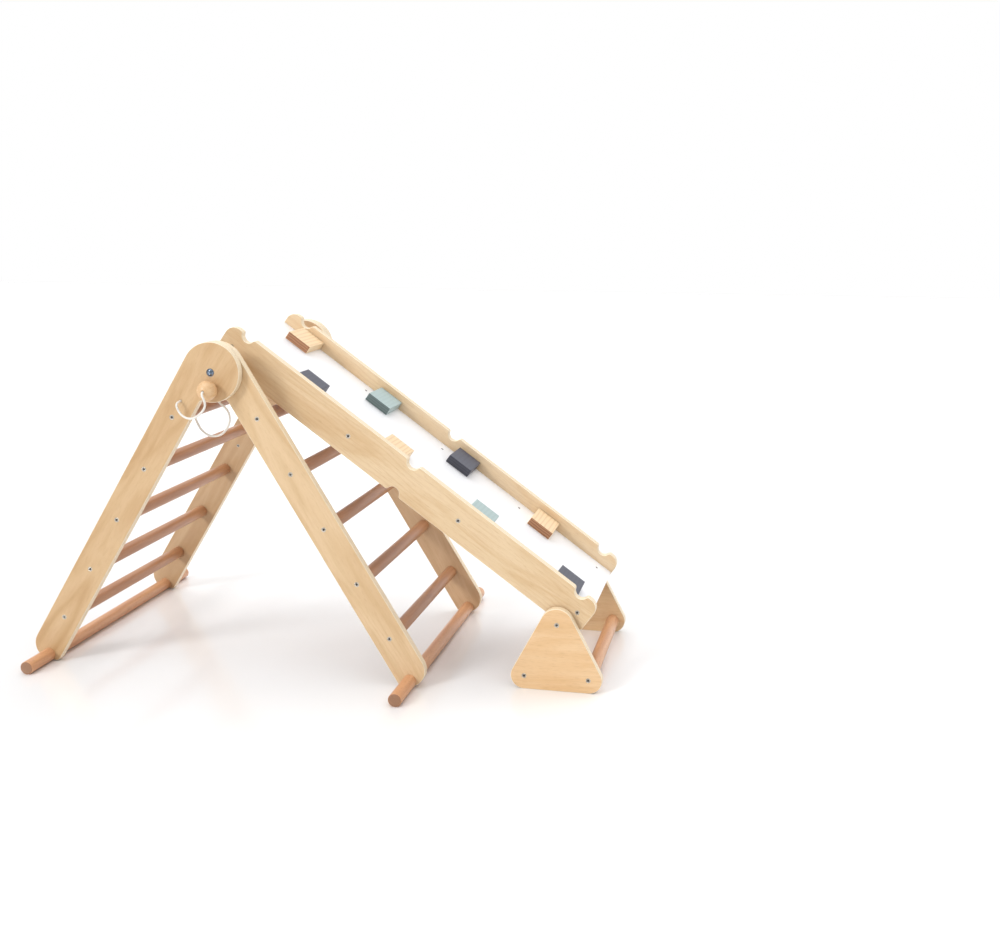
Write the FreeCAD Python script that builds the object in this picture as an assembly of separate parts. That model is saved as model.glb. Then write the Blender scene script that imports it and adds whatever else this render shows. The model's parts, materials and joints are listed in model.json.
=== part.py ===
import FreeCAD, Part
import math
import os

# Toddler climbing triangle with a reversible ramp and a small stand.
# Millimetres. X runs along the ramp and down it, Y across the width, Z up from the floor.
# The back ladder stands on the -X side, the front ladder carries the ramp on the +X side.

V = FreeCAD.Vector

# Sheet and dowel stock
PLY = 18.0
DOWEL_R = 14.0

# Triangle frame
PIVOT_X = -178.2            # pivot axis from the middle of the overall length
PIVOT_Z = 638.0             # pivot axis above the floor
FRAME_WIDTH = 556.0         # over the outer faces of the back rails
LAYER_GAP = 1.0             # between a back rail and the front rail beside it
LEG_ANGLE = math.radians(31.5)   # each ladder from the vertical
HEAD_R = 61.0
RAIL_WIDTH = 70.0
RAIL_OFFSET = HEAD_R - RAIL_WIDTH / 2   # a rail's centre line lies outside the pivot
RUNG_FIRST = 126.0          # first rung from the pivot, along the rail
RUNG_PITCH = 130.0
RUNG_COUNT = 5
FOOT_REACH = 401.5          # foot dowel from the pivot, level
FOOT_PROUD = 2.0            # a rail's cut end is this far above the floor
FOOT_OVERHANG = 88.0        # foot dowel past the back rail's outer face
FOOT_OUTER_R = 35.0
FOOT_INNER_R = 10.0
HEAD_NECK_R = 8.0           # where the round head runs into the inner edge
LEG_START = 20.0            # the straight leg starts inside the head, this far below the pivot
LEG_START_R = 1.0
EDGE_R = 1.6                # eased edges of the plywood
END_CHAMFER = 1.2

# Screws, bolts and inserts
SCREW_HEAD_R = 5.0
SCREW_R = 2.2
SCREW_LENGTH = 50.0
SCREW_PLAY = 0.15
SOCKET_ACROSS = 4.0
SOCKET_DEPTH = 2.4
BOLT_R = 4.0
BOLT_HEAD_R = 8.0
BOLT_HEAD = 3.2
BOLT_HEAD_EASE = 1.2
BOLT_DEPTH = 30.0           # into the end of the top rung
BOLT_END_PLAY = 1.0
RUNNING = 0.05              # radial clearance of what turns or slides in a hole
STANDOFF = 0.3              # between faces of different bodies
WASHER_R = 15.0
WASHER_PLAY = 0.1           # on each face of a washer
INSERT_R = 4.0
INSERT_LENGTH = 12.0
RAIL_INSERT_AT = 315.0      # along the back rail, from the pivot

# Lock pin with its ball and cord
LOCK_RADIUS = 34.0          # pin below the pivot
PIN_R = 4.0
PIN_PAST = 3.0              # pin beyond the front rail's inner face
PIN_SEAT = 15.0             # pin inside the ball
PIN_CHAMFER = 0.6
SLOT_HALF = 4.4
FOLD_RANGE = math.radians(61.5)
BALL_R = 20.0
BALL_SEAT = 19.0            # ball centre off the rail
CORD_R = 2.25
CORD_BORE_R = 2.9
CORD_BORE_DEPTH = 6.0
TETHER_AT = 86.0            # cord hole along the back rail, from the pivot

# Ramp, in its own line: u down the slope from the top rung, v square to it and upwards
RAMP_NOTCH_PITCH = 428.0
RAMP_END = 46.0             # side panel past the outer notches
RAMP_HEIGHT = 80.0
RAMP_WIDTH = 354.0
RAMP_SHIFT = -13.0          # the ramp hangs a little nearer the near rails
NOTCH_R = DOWEL_R + STANDOFF
LIP_R = 6.0
RAMP_CORNER_R = 22.0
BOARD = 15.0
BOARD_INSET = 2.0
BOARD_EASE = 1.2            # the board's long edges, beside the side panels
RAMP_SCREWS_FROM_MIDDLE = (-446.0, -142.0, 142.0, 446.0)
BLOCK_COUNT = 8
BLOCK_PITCH = 113.5
BLOCK_LENGTH = 59.0         # down the slope
BLOCK_REACH = 92.0          # across the ramp
BLOCK_HEIGHT = 18.0
BLOCK_GAP = 2.0             # block to side panel
BLOCK_EASE = 1.2
BLOCK_SCREWS_FROM_SIDE = (22.0, 70.0)
BLOCK_SCREW_BITE = 11.0     # screw inside the block
BLOCK_SCREW_END_PLAY = 1.0
HOLE_PITCH = 219.0          # spare inserts along the board
HOLE_COUNT = 5
HOLE_FROM_SIDE = 38.0
CAP_R = 3.0
CAP_DEPTH = 8.0
CAP_BORE_R = 1.8
CAP_BORE_DEPTH = 5.6

# Stand under the ramp's lower end
STAND_TOP_Z = 140.0
STAND_HALF_BASE = 66.0
STAND_BASE_Z = 28.0
STAND_CORNER_R = 28.0
STAND_TOP_R = 34.0
STAND_WIDTH = 408.0
STAND_SHIFT = -9.0

RAMP_DROP = math.asin((PIVOT_Z - STAND_TOP_Z) / (2 * RAMP_NOTCH_PITCH))
STAND_X = PIVOT_X + 2 * RAMP_NOTCH_PITCH * math.cos(RAMP_DROP)
BACK_OUTER = FRAME_WIDTH / 2
BACK_INNER = BACK_OUTER - PLY
FRONT_OUTER = BACK_INNER - LAYER_GAP
FRONT_INNER = FRONT_OUTER - PLY
PIVOT = V(PIVOT_X, 0, PIVOT_Z)
BACK = -1
FRONT = 1
SIDES = (("near", -1), ("far", 1))


def save(name, shape):
    shape.exportStep("parts/" + name + ".step")


def on_leg(side, along, out):
    """Point in the plane Y = 0: along a ladder from the pivot, and out from its inner side."""
    x = side * (along * math.sin(LEG_ANGLE) + out * math.cos(LEG_ANGLE))
    z = -along * math.cos(LEG_ANGLE) + out * math.sin(LEG_ANGLE)
    return PIVOT + V(x, 0, z)


def on_ramp(u, v, y=0.0):
    """Point on the ramp, u down the slope and v square to it."""
    x = u * math.cos(RAMP_DROP) + v * math.sin(RAMP_DROP)
    z = -u * math.sin(RAMP_DROP) + v * math.cos(RAMP_DROP)
    return PIVOT + V(x, y, z)


def across(point, y):
    return V(point.x, y, point.z)


def rod(radius, start, end):
    return Part.makeCylinder(radius, start.distanceToPoint(end), start, end - start)


def dowel(point, half_length, shift=0.0, end_chamfer=0.0):
    """Dowel along Y through a point of the plane Y = 0."""
    start = across(point, shift - half_length)
    shape = rod(DOWEL_R, start, across(point, shift + half_length))
    if end_chamfer:
        rims = [edge for edge in shape.Edges if abs(edge.Length - 2 * math.pi * DOWEL_R) < 0.1]
        shape = shape.makeChamfer(end_chamfer, rims)
    return shape


def sheet(face, y, thickness):
    """A face drawn in the plane Y = 0, as a sheet from y to y + thickness."""
    placed = face.copy()
    placed.translate(V(0, y, 0))
    return placed.extrude(V(0, thickness, 0))


def rounded_face(corners):
    """Face in the plane Y = 0 from (point, radius) corners, each rounded by a tangent arc."""
    edges = []
    starts = []
    ends = []
    arcs = []
    count = len(corners)
    for index, (point, radius) in enumerate(corners):
        before = (corners[index - 1][0] - point).normalize()
        after = (corners[(index + 1) % count][0] - point).normalize()
        half = before.getAngle(after) / 2
        reach = radius / math.tan(half)
        middle = (before + after).normalize() * (radius / math.sin(half) - radius)
        starts.append(point + before * reach)
        ends.append(point + after * reach)
        arcs.append(point + middle)
    for index in range(count):
        edges.append(Part.Arc(starts[index], arcs[index], ends[index]).toShape())
        edges.append(Part.LineSegment(ends[index], starts[(index + 1) % count]).toShape())
    return Part.Face(Part.Wire(edges))


def eased(shape, radius, faces_y):
    """Round the outline edges of a sheet where it meets its two faces."""
    edges = []
    for edge in shape.Edges:
        box = edge.BoundBox
        on_face = any(abs(box.YMin - y) < 1e-4 and abs(box.YMax - y) < 1e-4 for y in faces_y)
        if on_face:
            edges.append(edge)
    return shape.makeFillet(radius, edges)


def screw(head, inwards, length=SCREW_LENGTH):
    """Countersunk screw, its head flush at a point and its shank going inwards."""
    cone = Part.makeCone(SCREW_HEAD_R, SCREW_R, SCREW_HEAD_R - SCREW_R, head, inwards)
    shank = Part.makeCylinder(SCREW_R, length, head, inwards)
    side = SOCKET_ACROSS / math.sqrt(3)
    turn = FreeCAD.Rotation(V(0, 0, 1), inwards)
    ring = [turn.multVec(V(side * math.cos(k * math.pi / 3), side * math.sin(k * math.pi / 3), 0))
            for k in range(7)]
    socket = Part.Face(Part.makePolygon([head + corner for corner in ring]))
    body = cone.fuse(shank).removeSplitter()
    return body.cut(socket.extrude(inwards.normalize() * SOCKET_DEPTH))


def screw_hole(head, inwards, length=SCREW_LENGTH):
    """The room a screw needs: its countersink and its pilot hole."""
    play = SCREW_PLAY
    cone = Part.makeCone(SCREW_HEAD_R + play, SCREW_R + play, SCREW_HEAD_R - SCREW_R, head, inwards)
    return cone.fuse(Part.makeCylinder(SCREW_R + play, length + play, head, inwards)).removeSplitter()


def both_sides(outer, point, shift=0.0):
    """Head place and inward direction of a screw on the near and on the far side."""
    return [(across(point, shift - outer), V(0, 1, 0)), (across(point, shift + outer), V(0, -1, 0))]


# Triangle frame

def rung_points(side):
    return [on_leg(side, RUNG_FIRST + RUNG_PITCH * k, RAIL_OFFSET) for k in range(RUNG_COUNT)]


def foot_point(side):
    return V(PIVOT_X + side * FOOT_REACH, 0, DOWEL_R)


def leg_at_height(side, out, height):
    """Where a line along the ladder crosses a level above the floor."""
    along = (PIVOT_Z - height + out * math.sin(LEG_ANGLE)) / math.cos(LEG_ANGLE)
    return on_leg(side, along, out)


def rail_blank(side, y):
    """Round head and straight leg, cut level just above the floor."""
    inner = HEAD_R - RAIL_WIDTH
    leg = rounded_face([
        (leg_at_height(side, HEAD_R, FOOT_PROUD), FOOT_OUTER_R),
        (leg_at_height(side, inner, FOOT_PROUD), FOOT_INNER_R),
        (on_leg(side, LEG_START, inner), LEG_START_R),
        (on_leg(side, LEG_START, HEAD_R), LEG_START_R),
    ])
    shoulder = [on_leg(side, 0.0, 0.0), on_leg(side, 0.0, HEAD_R), on_leg(side, 2 * LEG_START, HEAD_R),
                on_leg(side, 2 * LEG_START, 0.0)]
    shoulder = Part.Face(Part.makePolygon(shoulder + [shoulder[0]]))
    head = Part.makeCylinder(HEAD_R, PLY, across(PIVOT, y), V(0, 1, 0))
    blank = head.fuse([sheet(leg, y, PLY), sheet(shoulder, y, PLY)]).removeSplitter()
    neck = on_leg(side, math.sqrt(HEAD_R ** 2 - inner ** 2), inner)
    corner = [edge for edge in blank.Edges
              if edge.BoundBox.YLength > PLY - 1 and across(edge.CenterOfMass, 0).distanceToPoint(neck) < 1]
    blank = blank.makeFillet(HEAD_NECK_R, corner)
    return eased(blank, EDGE_R, (y, y + PLY))


def rail_inner_y(side):
    """Inner and outer face of a ladder's rails, from the middle of the frame."""
    if side == BACK:
        return BACK_INNER, BACK_OUTER
    return FRONT_INNER, FRONT_OUTER


def lock_point():
    return PIVOT - V(0, 0, LOCK_RADIUS)


def fold_slot(y):
    """Curved slot in the front rail that the lock pin runs in while the back ladder folds."""
    ring = Part.makeCylinder(LOCK_RADIUS + SLOT_HALF, PLY, across(PIVOT, y), V(0, 1, 0))
    ring = ring.cut(Part.makeCylinder(LOCK_RADIUS - SLOT_HALF, PLY, across(PIVOT, y), V(0, 1, 0)))
    reach = 2 * HEAD_R
    start = V(0, 0, -reach)
    end = V(reach * math.sin(FOLD_RANGE), 0, -reach * math.cos(FOLD_RANGE))
    wedge = Part.Face(Part.makePolygon([PIVOT, PIVOT + start, PIVOT + start + end, PIVOT + end, PIVOT]))
    slot = ring.common(sheet(wedge, y, PLY))
    folded = PIVOT + end * (LOCK_RADIUS / reach)
    for point in (lock_point(), folded):
        slot = slot.fuse(Part.makeCylinder(SLOT_HALF, PLY, across(point, y), V(0, 1, 0)))
    return slot


def make_rails(side, prefix):
    inner, outer = rail_inner_y(side)
    for label, sign in SIDES:
        y = inner if sign > 0 else -outer
        rail = rail_blank(side, y)
        cuts = []
        for point in rung_points(side):
            cuts.append(screw_hole(across(point, sign * outer), V(0, -sign, 0)))
        foot = foot_point(side)
        cuts.append(Part.makeCylinder(DOWEL_R, PLY, across(foot, y), V(0, 1, 0)))
        cuts.append(Part.makeCylinder(BOLT_R + RUNNING, PLY, across(PIVOT, y), V(0, 1, 0)))
        if side == BACK:
            cuts.append(Part.makeCylinder(PIN_R + RUNNING, PLY, across(lock_point(), y), V(0, 1, 0)))
            hole = on_leg(side, TETHER_AT, RAIL_OFFSET)
            cuts.append(Part.makeCylinder(CORD_BORE_R, PLY, across(hole, y), V(0, 1, 0)))
            cuts.append(rail_insert(sign, INSERT_R, INSERT_LENGTH))
        else:
            cuts.append(fold_slot(y))
        save(prefix + "_rail_" + label, rail.cut(cuts))


def rail_insert(sign, radius, length):
    """Cylinder into a back rail's inner face, between its second and third rungs."""
    point = across(on_leg(BACK, RAIL_INSERT_AT, RAIL_OFFSET), sign * BACK_INNER)
    return Part.makeCylinder(radius, length, point, V(0, sign, 0))


def make_rail_inserts():
    inserts = []
    for _, sign in SIDES:
        body = rail_insert(sign, INSERT_R, INSERT_LENGTH)
        inserts.append(body.cut(rail_insert(sign, INSERT_R / 2, INSERT_LENGTH / 2)))
    save("rail_inserts", Part.makeCompound(inserts))


def make_rungs(side, prefix):
    inner, outer = rail_inner_y(side)
    screws = []
    for number, point in enumerate(rung_points(side), 1):
        rung = dowel(point, inner)
        for head, inwards in both_sides(outer, point):
            rung = rung.cut(screw_hole(head, inwards))
            screws.append(screw(head, inwards))
        save(prefix + "_rung_" + str(number), rung)
    save(prefix + "_rung_screws", Part.makeCompound(screws))
    foot = dowel(foot_point(side), BACK_OUTER + FOOT_OVERHANG, end_chamfer=END_CHAMFER)
    save(prefix + "_foot_dowel", foot)


def make_pivot():
    """Top rung on the pivot axis, with a bolt into each end and a thin washer between the rails."""
    rung = dowel(PIVOT, FRONT_INNER)
    bolts = []
    washers = []
    for _, sign in SIDES:
        inwards = V(0, -sign, 0)
        outer = across(PIVOT, sign * (BACK_OUTER + STANDOFF))
        tip = FRONT_INNER - BOLT_DEPTH
        length = BACK_OUTER + STANDOFF - tip
        rung = rung.cut(Part.makeCylinder(BOLT_R + RUNNING, length, outer, inwards))
        bolt = Part.makeCylinder(BOLT_R, length - BOLT_END_PLAY, outer, inwards)
        head = Part.makeCylinder(BOLT_HEAD_R, BOLT_HEAD, outer, inwards * -1)
        rim = [edge for edge in head.Edges
               if abs(abs(edge.CenterOfMass.y) - (BACK_OUTER + STANDOFF + BOLT_HEAD)) < 0.01]
        head = head.makeFillet(BOLT_HEAD_EASE, rim)
        bolt = bolt.fuse(head).removeSplitter()
        bolts.append(bolt)
        outer_face = across(PIVOT, sign * (BACK_INNER - WASHER_PLAY))
        washer = Part.makeCylinder(WASHER_R, LAYER_GAP - 2 * WASHER_PLAY, outer_face, inwards)
        washers.append(washer.cut(Part.makeCylinder(BOLT_R + RUNNING, LAYER_GAP, outer_face, inwards)))
    save("top_rung", rung)
    save("pivot_bolts", Part.makeCompound(bolts))
    save("pivot_washers", Part.makeCompound(washers))


# Lock pins and their cords

def cord_tube(points, radius):
    """Tube of straight runs joined by tangent arcs, each as large as its two runs allow."""
    edges = []
    here = points[0]
    radii = []
    for index in range(1, len(points) - 1):
        corner = points[index]
        before = points[index - 1] - corner
        after = points[index + 1] - corner
        shorter = min(before.Length, after.Length)
        turn = math.pi - before.getAngle(after)
        bend = 0.45 * shorter / math.tan(turn / 2)
        radii.append(bend)
        back = before.normalize()
        on = after.normalize()
        start = corner + back * (0.45 * shorter)
        end = corner + on * (0.45 * shorter)
        middle = corner + (back + on).normalize() * (bend / math.cos(turn / 2) - bend)
        edges.append(Part.LineSegment(here, start).toShape())
        edges.append(Part.Arc(start, middle, end).toShape())
        here = end
    edges.append(Part.LineSegment(here, points[-1]).toShape())
    path = Part.Wire(edges)
    first = points[1] - points[0]
    profile = Part.Wire(Part.makeCircle(radius, points[0], first))
    tube = path.makePipeShell([profile], True, True)
    expected = math.pi * radius ** 2 * path.Length
    print("cord length %.1f, volume over section times length %.4f" % (path.Length, tube.Volume / expected))
    print("cord radii", [round(value, 1) for value in radii])
    return tube


# The cord's route, from the pivot's X, the back rail's outer face and the floor: out of the ball,
# down in a loop and into the rail's small hole, then behind the rail and back to the pin's end.
LOOP_ROUTE = [
    (0.0, -33.3, 604.0), (0.0, -42.0, 603.8), (2.0, -47.0, 597.5), (6.0, -45.0, 588.5),
    (5.5, -40.5, 577.0), (-1.5, -36.0, 566.5), (-12.5, -31.0, 557.0), (-25.5, -25.5, 549.0),
    (-39.0, -20.0, 546.0), (-52.0, -15.5, 547.5), (-61.5, -13.5, 553.5), (-66.5, -15.0, 562.5),
    (-68.0, -18.5, 572.0), (-67.1, -12.0, 578.3), (-67.1, 3.0, 578.3),
]
TETHER_ROUTE = [
    (-67.1, 3.0, 578.3), (-67.1, 29.0, 578.3), (-67.4, 44.0, 567.0), (-64.5, 50.0, 547.0),
    (-58.5, 51.5, 526.5), (-48.0, 52.0, 508.5), (-31.0, 53.0, 498.0), (-10.0, 54.0, 499.5),
    (5.0, 55.0, 512.5), (13.0, 56.0, 530.0), (12.0, 56.5, 546.0), (4.5, 57.0, 558.0),
    (-8.0, 57.5, 566.5), (-16.5, 58.0, 576.5), (-14.5, 58.0, 590.0), (-4.5, 56.5, 600.5),
    (0.0, 49.5, 604.0), (0.0, 40.6, 604.0),
]


def route_points(route, sign):
    """Route points on the near side, or mirrored to the far side."""
    return [V(PIVOT_X + x, sign * (BACK_OUTER - y), z) for x, y, z in route]


def make_lock(label, sign):
    inwards = V(0, -sign, 0)
    centre = across(lock_point(), sign * (BACK_OUTER + STANDOFF + BALL_SEAT))
    seat = across(lock_point(), sign * (BACK_OUTER + STANDOFF))
    pin_root = across(lock_point(), sign * (BACK_OUTER + STANDOFF + PIN_SEAT))
    pin_length = pin_root.distanceToPoint(across(lock_point(), sign * (FRONT_INNER - PIN_PAST)))
    pin = Part.makeCylinder(PIN_R, pin_length, pin_root, inwards)
    tip = [edge for edge in pin.Edges if abs(abs(edge.CenterOfMass.y) - (FRONT_INNER - PIN_PAST)) < 0.01]
    save("lock_pin_" + label, pin.makeChamfer(PIN_CHAMFER, tip))
    ball = Part.makeSphere(BALL_R, centre)
    flat = Part.makeCylinder(BALL_R, BALL_R, seat, inwards)
    bore = Part.makeCylinder(PIN_R, PIN_SEAT, seat, inwards * -1)
    front = across(lock_point(), sign * (BACK_OUTER + STANDOFF + BALL_SEAT + BALL_R))
    cord_bore = Part.makeCylinder(CORD_BORE_R, CORD_BORE_DEPTH, front, inwards)
    save("lock_knob_" + label, ball.cut([flat, bore, cord_bore]))
    save("lock_cord_" + label, cord_tube(route_points(LOOP_ROUTE, sign), CORD_R))
    save("tether_cord_" + label, cord_tube(route_points(TETHER_ROUTE, sign), CORD_R))


# Ramp

def ramp_side_face():
    low = -RAMP_END
    high = 2 * RAMP_NOTCH_PITCH + RAMP_END
    corners = [(low, 0.0), (high, 0.0), (high, RAMP_HEIGHT), (low, RAMP_HEIGHT)]
    return rounded_face([(on_ramp(u, v), RAMP_CORNER_R) for u, v in corners])


def ramp_screw_points():
    middle = RAMP_NOTCH_PITCH
    return [on_ramp(middle + offset, RAMP_HEIGHT / 2) for offset in RAMP_SCREWS_FROM_MIDDLE]


def make_ramp_sides():
    half = RAMP_WIDTH / 2
    screws = []
    for label, sign in SIDES:
        y = RAMP_SHIFT + (half - PLY if sign > 0 else -half)
        side = sheet(ramp_side_face(), y, PLY)
        notches = []
        for number in range(3):
            for v in (0.0, RAMP_HEIGHT):
                centre = on_ramp(number * RAMP_NOTCH_PITCH, v, y)
                notches.append(Part.makeCylinder(NOTCH_R, PLY, centre, V(0, 1, 0)))
        side = side.cut(notches)
        lips = []
        for edge in side.Edges:
            if edge.BoundBox.YLength < PLY - 1:
                continue
            for number in range(3):
                for v in (0.0, RAMP_HEIGHT):
                    for reach in (-NOTCH_R, NOTCH_R):
                        lip = on_ramp(number * RAMP_NOTCH_PITCH + reach, v)
                        if across(edge.CenterOfMass, 0).distanceToPoint(lip) < 0.5:
                            lips.append(edge)
        side = side.makeFillet(LIP_R, lips)
        side = eased(side, EDGE_R, (y, y + PLY))
        for point in ramp_screw_points():
            head = across(point, RAMP_SHIFT + sign * half)
            side = side.cut(screw_hole(head, V(0, -sign, 0)))
            screws.append(screw(head, V(0, -sign, 0)))
        save("ramp_side_" + label, side)
    save("ramp_side_screws", Part.makeCompound(screws))


def block_places():
    """Middle of each climbing block down the slope, and which side panel it stands by."""
    first = RAMP_NOTCH_PITCH - BLOCK_PITCH * (BLOCK_COUNT - 1) / 2
    return [(first + BLOCK_PITCH * k, 1 if k % 2 == 0 else -1) for k in range(BLOCK_COUNT)]


def block_centre_y(sign):
    inner = RAMP_WIDTH / 2 - PLY
    return RAMP_SHIFT + sign * (inner - BLOCK_GAP - BLOCK_REACH / 2)


def ramp_box(u_low, u_high, y_low, y_high, v_low, v_high):
    corners = [on_ramp(u_low, v_low, y_low), on_ramp(u_high, v_low, y_low),
               on_ramp(u_high, v_low, y_high), on_ramp(u_low, v_low, y_high)]
    face = Part.Face(Part.makePolygon(corners + [corners[0]]))
    return face.extrude(on_ramp(0, v_high) - on_ramp(0, v_low))


def ramp_up():
    return on_ramp(0, 1) - on_ramp(0, 0)


def board_bottom():
    return (RAMP_HEIGHT - BOARD) / 2


def block_screw_heads(u, sign):
    inner = RAMP_WIDTH / 2 - PLY
    heads = []
    for reach in BLOCK_SCREWS_FROM_SIDE:
        heads.append(on_ramp(u, board_bottom(), RAMP_SHIFT + sign * (inner - BLOCK_GAP - reach)))
    return heads


def board_holes():
    """Top ends of the spare inserts, in a row by each side panel."""
    inner = RAMP_WIDTH / 2 - PLY
    first = RAMP_NOTCH_PITCH - HOLE_PITCH * (HOLE_COUNT - 1) / 2
    top = board_bottom() + BOARD
    return [on_ramp(first + HOLE_PITCH * k, top, RAMP_SHIFT + sign * (inner - HOLE_FROM_SIDE))
            for sign in (-1, 1) for k in range(HOLE_COUNT)]


def make_board():
    inner = RAMP_WIDTH / 2 - PLY
    low = -RAMP_END + BOARD_INSET
    high = 2 * RAMP_NOTCH_PITCH + RAMP_END - BOARD_INSET
    bottom = board_bottom()
    board = ramp_box(low, high, RAMP_SHIFT - inner, RAMP_SHIFT + inner, bottom, bottom + BOARD)
    long_edges = [edge for edge in board.Edges if edge.Length > RAMP_WIDTH]
    board = board.makeChamfer(BOARD_EASE, long_edges)
    cuts = []
    for point in ramp_screw_points():
        for head, inwards in both_sides(RAMP_WIDTH / 2, point, RAMP_SHIFT):
            cuts.append(screw_hole(head, inwards))
    for u, sign in block_places():
        for head in block_screw_heads(u, sign):
            cuts.append(screw_hole(head, ramp_up(), BOARD + BLOCK_SCREW_BITE + BLOCK_SCREW_END_PLAY))
    inserts = []
    for point in board_holes():
        insert = Part.makeCylinder(CAP_R, CAP_DEPTH, point, ramp_up() * -1)
        cuts.append(insert)
        inserts.append(insert.cut(Part.makeCylinder(CAP_BORE_R, CAP_BORE_DEPTH, point, ramp_up() * -1)))
    save("ramp_board", board.cut(cuts))
    save("board_inserts", Part.makeCompound(inserts))


def make_blocks():
    screws = []
    top = board_bottom() + BOARD
    for number, (u, sign) in enumerate(block_places(), 1):
        centre = block_centre_y(sign)
        block = ramp_box(u - BLOCK_LENGTH / 2, u + BLOCK_LENGTH / 2, centre - BLOCK_REACH / 2,
                         centre + BLOCK_REACH / 2, top, top + BLOCK_HEIGHT)
        block = block.makeFillet(BLOCK_EASE, block.Edges)
        for head in block_screw_heads(u, sign):
            block = block.cut(screw_hole(head, ramp_up(), BOARD + BLOCK_SCREW_BITE + BLOCK_SCREW_END_PLAY))
            screws.append(screw(head, ramp_up(), BOARD + BLOCK_SCREW_BITE))
        save("climbing_block_" + str(number), block)
    save("block_screws", Part.makeCompound(screws))


# Stand

def stand_points():
    top = V(STAND_X, 0, STAND_TOP_Z)
    front = V(STAND_X + STAND_HALF_BASE, 0, STAND_BASE_Z)
    rear = V(STAND_X - STAND_HALF_BASE, 0, STAND_BASE_Z)
    return top, front, rear


def tangent_edge(centre_a, radius_a, centre_b, radius_b):
    """Ends of the outer tangent of two circles, on the left of the way from a to b."""
    way = centre_b - centre_a
    tilt = math.asin((radius_a - radius_b) / way.Length)
    angle = math.atan2(way.z, way.x) + math.pi / 2 - tilt
    normal = V(math.cos(angle), 0, math.sin(angle))
    return centre_a + normal * radius_a, centre_b + normal * radius_b


def stand_face():
    """Triangle with round corners about the three dowels, going round from the top."""
    top, front, rear = stand_points()
    ring = [(top, STAND_TOP_R), (front, STAND_CORNER_R), (rear, STAND_CORNER_R)]
    sides = [tangent_edge(*ring[k], *ring[(k + 1) % 3]) for k in range(3)]
    edges = []
    for k in range(3):
        start, end = sides[k]
        edges.append(Part.LineSegment(start, end).toShape())
        centre, radius = ring[(k + 1) % 3]
        next_start = sides[(k + 1) % 3][0]
        outwards = ((end - centre) + (next_start - centre)).normalize()
        edges.append(Part.Arc(end, centre + outwards * radius, next_start).toShape())
    return Part.Face(Part.Wire(edges))


def make_stand():
    half = STAND_WIDTH / 2
    screws = []
    for label, sign in SIDES:
        y = STAND_SHIFT + (half - PLY if sign > 0 else -half)
        side = eased(sheet(stand_face(), y, PLY), EDGE_R, (y, y + PLY))
        for point in stand_points():
            side = side.cut(screw_hole(across(point, STAND_SHIFT + sign * half), V(0, -sign, 0)))
        save("stand_side_" + label, side)
    for name, point in zip(("top", "front", "rear"), stand_points()):
        bar = dowel(point, half - PLY, STAND_SHIFT)
        for head, inwards in both_sides(half, point, STAND_SHIFT):
            bar = bar.cut(screw_hole(head, inwards))
            screws.append(screw(head, inwards))
        save("stand_" + name + "_dowel", bar)
    save("stand_screws", Part.makeCompound(screws))


os.makedirs("parts", exist_ok=True)
make_rails(BACK, "back")
make_rails(FRONT, "front")
make_rungs(BACK, "back")
make_rungs(FRONT, "front")
make_rail_inserts()
make_pivot()
for side_label, side_sign in SIDES:
    make_lock(side_label, side_sign)
make_ramp_sides()
make_board()
make_blocks()
make_stand()
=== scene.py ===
import json
import math

import bmesh
import bpy
from mathutils import Matrix, Vector


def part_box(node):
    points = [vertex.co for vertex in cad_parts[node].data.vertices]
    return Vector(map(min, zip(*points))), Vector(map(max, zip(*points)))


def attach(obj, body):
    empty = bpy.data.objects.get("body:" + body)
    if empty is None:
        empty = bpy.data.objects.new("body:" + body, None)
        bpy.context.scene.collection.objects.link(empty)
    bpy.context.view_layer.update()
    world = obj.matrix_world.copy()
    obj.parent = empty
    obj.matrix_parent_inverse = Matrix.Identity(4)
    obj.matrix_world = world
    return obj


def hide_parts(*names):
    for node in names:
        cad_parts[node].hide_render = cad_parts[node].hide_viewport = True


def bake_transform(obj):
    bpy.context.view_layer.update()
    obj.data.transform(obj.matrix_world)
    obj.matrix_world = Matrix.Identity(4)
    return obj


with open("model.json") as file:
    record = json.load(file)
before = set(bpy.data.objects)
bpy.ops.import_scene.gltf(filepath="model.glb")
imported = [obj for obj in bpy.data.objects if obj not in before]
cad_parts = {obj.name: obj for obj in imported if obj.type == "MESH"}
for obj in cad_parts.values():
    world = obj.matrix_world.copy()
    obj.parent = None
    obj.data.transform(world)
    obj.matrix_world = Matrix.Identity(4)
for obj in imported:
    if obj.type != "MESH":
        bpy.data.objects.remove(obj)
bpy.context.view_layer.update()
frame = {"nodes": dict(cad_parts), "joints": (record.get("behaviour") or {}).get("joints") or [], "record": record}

# A toddler's folding climbing triangle in birch plywood and beech, with a white ramp that carries
# eight climbing blocks and rests on a small stand. Metres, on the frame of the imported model.

MM = 0.001
JOINTS = {joint["name"]: joint for joint in frame["joints"]}
PIVOT = Vector(JOINTS["fold"]["pos_m"])
STAND_PIVOT = Vector(JOINTS["stand_swing"]["pos_m"])
LOCK_Z = JOINTS["near_lock_pull"]["pos_m"][2]
RAIL_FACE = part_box("back_rail_far")[1].y          # outer faces of the back rails, either side
RAMP_DROP = math.atan2(PIVOT.z - STAND_PIVOT.z, STAND_PIVOT.x - PIVOT.x)
LEG_LEAN = math.radians(31.5)                     # each ladder from the vertical
SIDES = (("near", -1), ("far", 1))


# ---------------------------------------------------------------- camera

SENSOR_WIDTH, LENS = 36.0, 45.52                  # millimetres, as a camera counts them
CAMERA_PLACE = PIVOT + Vector((1.0963, -2.6094, 0.3244))
CAMERA_TURN, CAMERA_DIP, CAMERA_ROLL = (math.radians(angle) for angle in (12.19, 11.43, 0.21))

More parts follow.
